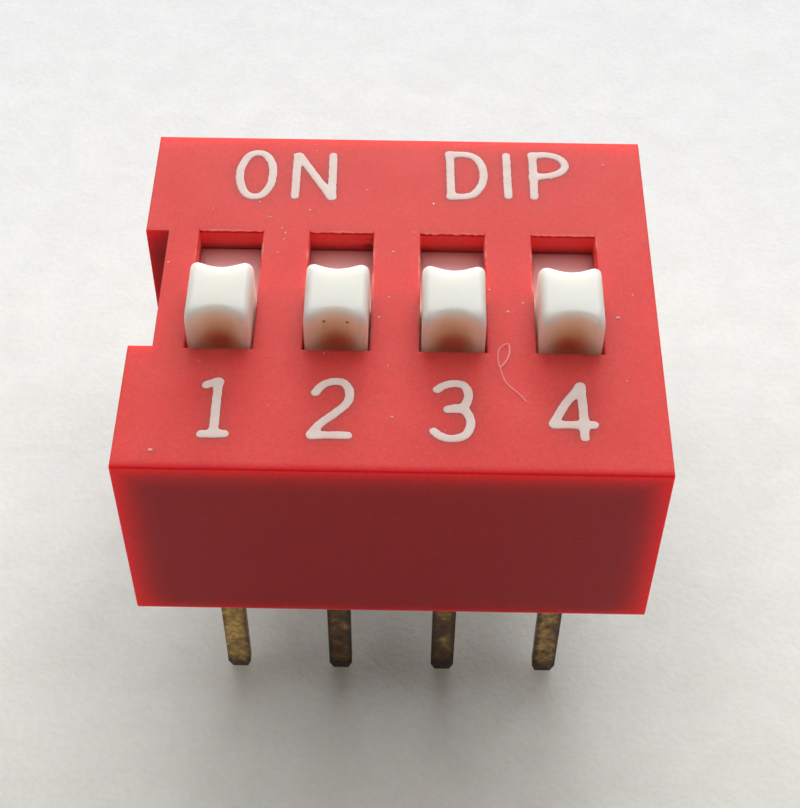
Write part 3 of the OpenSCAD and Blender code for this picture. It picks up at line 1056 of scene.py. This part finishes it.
@dataclass
class Poles:
    """The four sliders and the contact that each carries."""

    specked: int = 2
    specks_mm: tuple[Triple, ...] = ((-1.52, -1.50, 6.42), (-1.02, -1.50, 6.40))

    def build(self) -> None:
        """Makes the sliders and dresses the contacts."""
        gold = ContactGold("gold-flashed contact strip").build()
        for number in range(1, POSITIONS + 1):
            specks = self.specks_mm if number == self.specked else ()
            finish = SliderPlastic(f"moulded white acetal, {number}", specks_mm=specks).build()
            Grip().build(f"slider_{number}", f"switch_{number}", finish)
            dress(f"contact_{number}", gold)


# ---- legend --------------------------------------------------------------


@dataclass(frozen=True)
class Glyph:
    """One character of the legend, as the strokes of a round-nosed stamp.

    Each stroke is a list of (x, y) points in millimetres; a bent one is run through smoothly.
    """

    name: str
    strokes: tuple[tuple[Pair, ...], ...]
    closed: bool = False

    def paths(self, step: float) -> list[np.ndarray]:
        """Runs each stroke as short segments.

        Args:
            step: The greatest length of a straight stroke's segments, in millimetres.

        Returns:
            One array of points for each stroke.
        """
        made = []
        for stroke in self.strokes:
            given = np.array(stroke, float)
            if len(given) == 2:
                count = max(2, int(np.hypot(*(given[1] - given[0])) / step) + 1)
                made.append(given[0] + np.linspace(0, 1, count)[:, None] * (given[1] - given[0]))
                continue
            if self.closed:
                ring = np.vstack([given[-1:], given, given[:2]])
            else:
                ring = np.vstack([2 * given[0] - given[1], given, 2 * given[-1] - given[-2]])
            # A Catmull-Rom curve: each span, from b to c, bends by its neighbours a and d.
            run = []
            for a, b, c, d in zip(ring, ring[1:], ring[2:], ring[3:]):
                for t in np.arange(0, 1, 0.125):
                    run.append(0.5 * (
                        2 * b + (c - a) * t + (2 * a - 5 * b + 4 * c - d) * t * t + (3 * b - a - 3 * c + d) * t ** 3
                    ))
            run.append(ring[-2])
            made.append(np.array(run))
        return made


GLYPHS: tuple[Glyph, ...] = (
    Glyph("O", (((-3.37, 4.50), (-3.17, 4.41), (-3.02, 4.12), (-2.98, 3.76), (-3.02, 3.38), (-3.17, 3.08),
                 (-3.37, 2.99), (-3.57, 3.08), (-3.71, 3.38), (-3.76, 3.76), (-3.71, 4.12), (-3.57, 4.41)),),
          closed=True),
    Glyph("N", (((-2.42, 3.02), (-2.42, 4.42)), ((-2.36, 4.40), (-1.58, 3.03)), ((-1.55, 3.01), (-1.57, 4.44)))),
    Glyph("D", (((1.22, 4.54), (1.25, 3.10)),
                ((1.22, 4.55), (1.58, 4.55), (1.82, 4.45), (1.97, 4.19), (2.02, 3.84), (1.96, 3.48), (1.80, 3.20),
                 (1.58, 3.10), (1.25, 3.09)))),
    Glyph("I", (((2.57, 4.53), (2.59, 3.13)),)),
    Glyph("P", (((3.20, 4.55), (3.20, 3.12)),
                ((3.20, 4.56), (3.53, 4.58), (3.79, 4.50), (3.93, 4.34), (3.96, 4.16), (3.85, 3.98), (3.61, 3.86),
                 (3.21, 3.80)))),
    Glyph("1", (((-3.97, -2.80), (-3.85, -2.74), (-3.73, -2.71)), ((-3.72, -2.71), (-3.72, -4.11)),
                ((-3.97, -4.13), (-3.49, -4.12)))),
    Glyph("2", (((-1.65, -2.97), (-1.55, -2.80), (-1.40, -2.69), (-1.22, -2.65), (-1.05, -2.70), (-0.94, -2.88),
                 (-0.93, -3.09), (-1.00, -3.28), (-1.16, -3.47), (-1.36, -3.66), (-1.53, -3.83), (-1.63, -4.00),
                 (-1.68, -4.11)), ((-1.68, -4.11), (-0.93, -4.11)))),
    Glyph("3", (((0.93, -2.83), (1.08, -2.71), (1.30, -2.66), (1.49, -2.71), (1.58, -2.89), (1.57, -3.10),
                 (1.46, -3.30), (1.15, -3.37)),
                ((1.30, -3.35), (1.49, -3.39), (1.60, -3.57), (1.62, -3.79), (1.54, -4.02), (1.37, -4.13),
                 (1.15, -4.15), (0.97, -4.07), (0.86, -3.97)))),
    Glyph("4", (((3.96, -2.69), (3.63, -3.17), (3.37, -3.68)), ((3.37, -3.74), (4.20, -3.73)),
                ((3.97, -2.69), (3.99, -3.23), (3.99, -4.07)))),
)


@dataclass
class Legend:
    """The stamped marking on the cover: ON, the type of switch, and a number at each position."""

    glyphs: tuple[Glyph, ...] = GLYPHS
    stroke_mm: float = 0.19
    blend_mm: float = 0.035
    ragged_mm: float = 0.004
    waves: tuple[Pair, ...] = ((13.0, 0.4), (21.0, 2.0), (37.0, 1.1), (55.0, 2.7))
    step_mm: float = 0.05
    cell_mm: float = 0.018
    thick_mm: float = 0.010
    sunk_mm: float = 0.003

    def build(self) -> None:
        """Makes one piece for each character."""
        ink = LegendInk("stamped off-white foil").build()
        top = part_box("cover")[1].z
        for number, glyph in enumerate(self.glyphs):
            name = f"legend_{glyph.name}"
            carried(name, drawn(name, *self.sheet(glyph, top, number)), ink, "housing")

    def sheet(self, glyph: Glyph, top: float, number: int) -> tuple[list[Triple], list[list[int]]]:
        """Makes a character's closed, thin sheet, with the ink run together where its strokes meet.

        Args:
            glyph: The character.
            top: Height of the face it lies on, in metres.
            number: Sets where the ragged edge's waves start.

        Returns:
            The vertices in metres, and the faces.
        """
        paths = glyph.paths(self.step_mm)
        every = np.vstack(paths)
        margin = self.stroke_mm
        xs = np.arange(every[:, 0].min() - margin, every[:, 0].max() + margin, self.cell_mm)
        ys = np.arange(every[:, 1].min() - margin, every[:, 1].max() + margin, self.cell_mm)
        gx, gy = np.meshgrid(xs, ys, indexing="ij")
        nearness = np.zeros_like(gx)
        for path in paths:
            away = np.full(gx.shape, 9.0)
            for a, b in zip(path, path[1:]):
                run = b - a
                t = np.clip(((gx - a[0]) * run[0] + (gy - a[1]) * run[1]) / max(run @ run, 1e-12), 0, 1)
                away = np.minimum(away, np.hypot(gx - a[0] - t * run[0], gy - a[1] - t * run[1]))
            nearness += np.exp(-away / self.blend_mm)
        field = -self.blend_mm * np.log(nearness + 1e-30) - self.stroke_mm / 2
        wave = sum(
            np.sin(gx * k * math.cos(turn) + gy * k * math.sin(turn) + number * 2.1 + k)
            for k, turn in self.waves
        )
        field += wave * self.ragged_mm / 2
        return self.contour(xs, ys, field, top)

    def contour(
        self, xs: np.ndarray, ys: np.ndarray, field: np.ndarray, top: float
    ) -> tuple[list[Triple], list[list[int]]]:
        """Cuts the sheet out of the grid where the field is below zero.

        Args:
            xs: Grid lines across X, in millimetres.
            ys: Grid lines across Y, in millimetres.
            field: Distance outside the ink's edge at each crossing.
            top: Height of the face it lies on, in metres.

        Returns:
            The vertices in metres, and the faces.
        """
        points: list[Triple] = []
        faces: list[list[int]] = []
        known: dict[tuple[int, int, int, int], int] = {}

        def corner(i: int, j: int, k: int, m: int) -> int:
            """Finds or adds the vertex at a crossing, or where the edge to the next crossing is cut.

            Args:
                i: The crossing's place across X.
                j: Its place across Y.
                k: The next crossing's place across X, or i.
                m: Its place across Y, or j.

            Returns:
                The vertex's number.
            """
            key = min((i, j, k, m), (k, m, i, j))
            if key not in known:
                if (i, j) == (k, m):
                    x, y, value = xs[i], ys[j], field[i, j]
                else:
                    t = field[i, j] / (field[i, j] - field[k, m])
                    x, y, value = xs[i] + t * (xs[k] - xs[i]), ys[j] + t * (ys[m] - ys[j]), 0.0
                rise = self.thick_mm * math.sqrt(min(1.0, max(0.0, -value) / (0.25 * self.stroke_mm)))
                known[key] = len(points)
                points.append((x * MM, y * MM, top + rise * MM))
            return known[key]

        inside = field < 0
        for i in range(len(xs) - 1):
            for j in range(len(ys) - 1):
                ring = ((i, j), (i + 1, j), (i + 1, j + 1), (i, j + 1))
                flags = [inside[c] for c in ring]
                if not any(flags):
                    continue
                face: list[int] = []
                for n in range(4):
                    here, after = ring[n], ring[(n + 1) % 4]
                    if flags[n]:
                        face.append(corner(*here, *here))
                    if flags[n] != flags[(n + 1) % 4]:
                        face.append(corner(*here, *after))
                if len(face) > 2:
                    faces.append(face)
        count = len(points)
        points += [(x, y, top - self.sunk_mm * MM) for x, y, _ in points]
        edges = {(a, b) for f in faces for a, b in zip(f, f[1:] + f[:1])}
        walls = [[b, a, a + count, b + count] for a, b in edges if (b, a) not in edges]
        faces += [[v + count for v in reversed(f)] for f in faces] + walls
        return points, faces


# ---- wear ----------------------------------------------------------------


@dataclass
class Dust:
    """Specks of dust scattered on the cover's top face."""

    name: str = "dust_top"
    density_per_mm2: float = 0.14
    least_mm: float = 0.012
    most_mm: float = 0.030
    flattest: Triple = (0.5, 0.5, 0.25)
    fullest: Triple = (1.6, 1.0, 0.4)
    turns: Triple = (0.2, 0.2, 6.28)
    level: float = 0.999
    seed: int = 5

    def host(self) -> bpy.types.Object:
        """Copies the cover's faces that the dust can lie on.

        Returns:
            An object of loose triangles.
        """
        cover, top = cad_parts["cover"].data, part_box("cover")[1].z
        flat = [p for p in cover.polygons if p.normal.z > self.level and abs(p.center.z - top) < 0.001 * MM]
        points = [cover.vertices[v].co for p in flat for v in p.vertices]
        faces = [range(3 * n, 3 * n + 3) for n in range(len(flat))]
        return linked("dust_host", drawn("dust_host", points, faces))

    def build(self, finish: bpy.types.Material) -> None:
        """Scatters the specks.

        Args:
            finish: What the specks are made of.
        """
        tree, given, end = geometry_tree("dust", {"Density": "Float", "Least": "Float", "Most": "Float", "Seed": "Int"})
        seed = given["Seed"]
        points = put(tree, "GeometryNodeDistributePointsOnFaces", {
            "Mesh": given["Geometry"], "Density": given["Density"], "Seed": seed,
        })
        draw = "FunctionNodeRandomValue"
        size = put(tree, draw, {2: given["Least"], 3: given["Most"], "Seed": seed}, data_type="FLOAT")
        stretch = put(tree, draw, {0: self.flattest, 1: self.fullest, "Seed": seed}, data_type="FLOAT_VECTOR")
        scale = put(tree, VECTOR, {0: stretch, 3: size}, operation="SCALE")
        turn = put(tree, draw, {0: (0.0, 0.0, 0.0), 1: self.turns, "Seed": seed}, data_type="FLOAT_VECTOR")
        face_on = put(tree, "FunctionNodeRotateRotation", (points.outputs["Rotation"], turn), rotation_space="LOCAL")
        grain = put(tree, "GeometryNodeMeshIcoSphere", {"Radius": 1.0, "Subdivisions": 1})
        end(put(tree, "GeometryNodeInstanceOnPoints", {
            "Points": points, "Instance": grain, "Rotation": face_on, "Scale": scale,
        }))
        sizes = {"Least": self.least_mm * MM, "Most": self.most_mm * MM, "Seed": self.seed}
        grown(self.name, self.host(), tree, {"Density": self.density_per_mm2 / MM ** 2, **sizes}, finish)


@dataclass
class Grains:
    """Single specks that lie where they were found, each a small squashed grain."""

    name: str
    spots_mm: tuple[Triple, ...]
    shape: Triple = (1.15, 0.85, 0.4)
    turn: float = 1.9

    def build(self, finish: bpy.types.Material) -> None:
        """Makes the grains as one piece.

        Args:
            finish: What they are made of.
        """
        build = bmesh.new()
        for number, (x, y, radius) in enumerate(self.spots_mm):
            lie = Matrix.Translation(Vector((x, y, TOP_MM)) * MM) @ Matrix.Rotation(number * self.turn, 4, "Z")
            shape = Matrix.Diagonal(Vector((*self.shape, 1.0)))
            bmesh.ops.create_icosphere(build, subdivisions=2, radius=radius * MM, matrix=lie @ shape)
        for face in build.faces:
            face.smooth = True
        carried(self.name, kept(build), finish, "housing")


SPECKS = Grains("specks", (
    (-4.97, -4.58, 0.050), (-3.22, 2.81, 0.028), (-2.95, 2.31, 0.032), (-2.04, 2.56, 0.030), (-2.70, 1.18, 0.022),
    (-0.08, 1.24, 0.034), (-0.15, -0.17, 0.028), (-0.36, -0.78, 0.032), (2.48, -0.56, 0.038), (2.82, -0.29, 0.032),
    (4.90, -0.69, 0.044), (5.28, 0.01, 0.026), (4.88, 4.26, 0.034), (-0.02, -3.60, 0.032), (-0.73, 3.27, 0.024),
    (-5.16, 0.81, 0.024), (-2.59, 1.60, 0.022),
))


@dataclass
class Fibre:
    """A fibre that lies on the cover, as a thin round strand along a given run."""

    name: str
    run_mm: tuple[Triple, ...]
    thick_mm: float = 0.03
    rings: int = 60
    sides: int = 8

    def build(self, finish: bpy.types.Material) -> None:
        """Sweeps the strand along its run.

        Args:
            finish: What the strand is made of.
        """
        tree, given, end = geometry_tree("fibre", {"Radius": "Float", "Count": "Int"})
        run = put(tree, "GeometryNodeResampleCurve", {"Curve": given["Geometry"], "Count": given["Count"]})
        ring = put(tree, "GeometryNodeCurvePrimitiveCircle", {"Resolution": self.sides, "Radius": given["Radius"]})
        end(put(tree, "GeometryNodeCurveToMesh", {"Curve": run, "Profile Curve": ring, "Fill Caps": True}))
        curve = bpy.data.curves.new(self.name, "CURVE")
        curve.dimensions = "3D"
        spline = curve.splines.new("NURBS")
        spline.points.add(len(self.run_mm) - 1)
        for point, (x, y, z) in zip(spline.points, self.run_mm):
            point.co = (*metres((x, y, z)), 1.0)
        spline.order_u, spline.use_endpoint_u = 4, True
        curve.resolution_u = 8
        sizes = {"Radius": self.thick_mm * MM / 2, "Count": self.rings}
        grown(self.name, linked(f"{self.name}_host", curve), tree, sizes, finish)


HAIRS: tuple[Fibre, ...] = (
    Fibre("hair_long", (
        (2.46, -1.51, 5.812), (2.26, -1.57, 5.812), (2.21, -1.92, 5.812), (2.27, -2.20, 5.812), (2.34, -2.56, 5.812),
        (2.47, -2.76, 5.812), (2.64, -2.89, 5.812), (2.81, -3.15, 5.812),
    )),
    Fibre("hair_short", (
        (2.46, -1.51, 5.814), (2.54, -1.74, 5.814), (2.45, -2.03, 5.816), (2.27, -2.20, 5.826),
    )),
)


@dataclass
class Flash:
    """Ragged feather of moulding flash along the windows' rear edges, where the mould's halves met."""

    name: str = "window_flash"
    edge_y_mm: float = 1.85
    span_mm: float = 1.44
    lap_mm: float = 0.06
    reach_mm: float = 0.07
    thick_mm: float = 0.015
    wave_mm: float = 0.16
    cuts: int = 72
    seed: float = 3.0

    def build(self, finish: bpy.types.Material) -> None:
        """Grows one feather at each window.

        Args:
            finish: The cover's own plastic.
        """
        tree, given, end = geometry_tree("flash", {
            "Size": "Vector", "Middle": "Float", "Reach": "Float", "Wave": "Float", "Seed": "Float",
        })
        strip = put(tree, "GeometryNodeMeshCube", {"Size": given["Size"], "Vertices X": self.cuts})
        feathers = put(tree, "GeometryNodeInstanceOnPoints", {"Points": given["Geometry"], "Instance": strip})
        real = put(tree, "GeometryNodeRealizeInstances", {"Geometry": feathers})
        x, y, _ = put(tree, AXES, (put(tree, "GeometryNodeInputPosition"),)).outputs
        inner = put(tree, "FunctionNodeCompare", (y, given["Middle"]), data_type="FLOAT", operation="LESS_THAN")
        along = put(tree, "ShaderNodeCombineXYZ", {"X": x})
        waves = put(tree, NOISE, {
            "Vector": along, "W": given["Seed"], "Scale": given["Wave"], "Detail": 3.0,
        }, noise_dimensions="4D")
        share = put(tree, RAMP, (waves, 0.42, 0.72, 0.0, -1.0))
        back = put(tree, MATH, (share, given["Reach"]), operation="MULTIPLY")
        shift = put(tree, "ShaderNodeCombineXYZ", {"Y": back})
        end(put(tree, "GeometryNodeSetPosition", {"Geometry": real, "Selection": inner, "Offset": shift}))
        middle, depth = self.edge_y_mm + self.lap_mm / 2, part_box("cover")[1].z - self.thick_mm * MM / 2
        first = -(POSITIONS - 1) / 2 * PITCH_MM
        points = [((first + n * PITCH_MM) * MM, middle * MM, depth) for n in range(POSITIONS)]
        host = linked("flash_host", drawn("flash_host", points, []))
        sizes = {
            "Size": metres((self.span_mm, self.lap_mm, self.thick_mm)), "Middle": middle * MM,
            "Reach": self.reach_mm * MM, "Wave": 1 / (self.wave_mm * MM), "Seed": self.seed,
        }
        grown(self.name, host, tree, sizes, finish)


# ---- studio --------------------------------------------------------------


@dataclass(frozen=True)
class Softbox:
    """A square diffused lamp that faces the switch, with its direction in degrees; azimuth 0 is behind, 90 is +X."""

    name: str
    azimuth: float
    elevation: float
    power: float
    size_mm: float = 300.0
    away_mm: float = 640.0

    def hang(self) -> None:
        """Hangs the lamp, aimed at the switch."""
        lamp = bpy.data.lights.new(self.name, "AREA")
        lamp.shape, lamp.size, lamp.energy = "SQUARE", self.size_mm * MM, self.power
        turn, lift = math.radians(self.azimuth), math.radians(self.elevation)
        aim = Vector((math.sin(turn) * math.cos(lift), math.cos(turn) * math.cos(lift), math.sin(lift)))
        place = self.away_mm * MM * aim
        towards = (-place).to_track_quat("-Z", "Y").to_matrix().to_4x4()
        linked(self.name, lamp).matrix_world = Matrix.Translation(place) @ towards


SOFTBOXES: tuple[Softbox, ...] = (
    Softbox("low_window_behind", 0.0, 18.0, 2.85),
    Softbox("behind_left", -30.0, 40.0, 0.74),
    Softbox("behind_right", 30.0, 40.0, 1.18),
    Softbox("left", -90.0, 40.0, 0.25),
    Softbox("right", 90.0, 40.0, 0.34),
    Softbox("high_behind", 0.0, 65.0, 0.72),
    Softbox("high_left", -90.0, 65.0, 0.57),
    Softbox("high_right", 90.0, 65.0, 0.61),
    Softbox("overhead", 0.0, 88.0, 0.14),
)


@dataclass
class Studio:
    """Pale floor, softboxes that light mostly from behind and above, a dim even world, and the camera."""

    focal_px: float = 1662.23
    frame_px: int = 808
    sensor_mm: float = 36.0
    clip: Pair = (0.001, 2.0)
    camera_mm: Triple = (0.294, -25.510, 32.765)
    right: Triple = (0.99986, 0.01524, 0.00697)
    up: Triple = (-0.01619, 0.77097, 0.63666)
    floor_mm: float = 900.0
    softboxes: tuple[Softbox, ...] = SOFTBOXES
    world_colour: str = "#f4f6fa"
    world_level: float = 0.02

    def build(self) -> None:
        """Makes the floor, the lights, the world and the camera."""
        self.floor()
        for softbox in self.softboxes:
            softbox.hang()
        self.world()
        self.camera()

    def floor(self) -> None:
        """Lays the floor under the pins' tips."""
        half, z = self.floor_mm / 2 * MM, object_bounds()[0].z
        corners = [(-half, -half, z), (half, -half, z), (half, half, z), (-half, half, z)]
        floor = linked("floor", drawn("floor", corners, [(0, 1, 2, 3)]))
        floor.data.materials.append(FloorPaper("pale matt card").build())
        floor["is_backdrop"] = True

    def world(self) -> None:
        """Fills in from all round with a dim, even white."""
        world = bpy.data.worlds.new("soft room")
        world.use_nodes = True
        tree = world.node_tree
        tree.nodes.clear()
        glow = put(tree, "ShaderNodeBackground", {"Color": self.world_colour, "Strength": self.world_level})
        put(tree, "ShaderNodeOutputWorld", {"Surface": glow})
        bpy.context.scene.world = world

    def camera(self) -> None:
        """Sets the camera up in front of the switch and above it."""
        lens = bpy.data.cameras.new("camera")
        lens.sensor_width = self.sensor_mm
        lens.lens = self.focal_px * self.sensor_mm / self.frame_px
        lens.clip_start, lens.clip_end = self.clip
        right = Vector(self.right).normalized()
        back = right.cross(Vector(self.up)).normalized()
        up = back.cross(right)
        turn = Matrix((right, up, back)).transposed().to_4x4()
        camera = linked("camera", lens)
        camera.matrix_world = Matrix.Translation(Vector(self.camera_mm) * MM) @ turn
        bpy.context.scene.camera = camera


def main() -> None:
    """Builds the looks of the switch, one sub-assembly after another."""
    logging.basicConfig(level=logging.INFO, format="%(name)s %(message)s")
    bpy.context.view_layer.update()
    Housing().build()
    Flash().build(HousingPlastic("feathered red thermoplastic", through=0.0).build())
    Poles().build()
    Legend().build()
    Dust().build(PaleDust("pale dust").build())
    SPECKS.build(PaleDust("pale specks", colour="#f0b9ae", shade="#e59a8e").build())
    lint = Lint("pale lint").build()
    for hair in HAIRS:
        hair.build(lint)
    Studio().build()
    bpy.context.scene.view_settings.view_transform = "Standard"


if __name__ == "__main__":
    main()
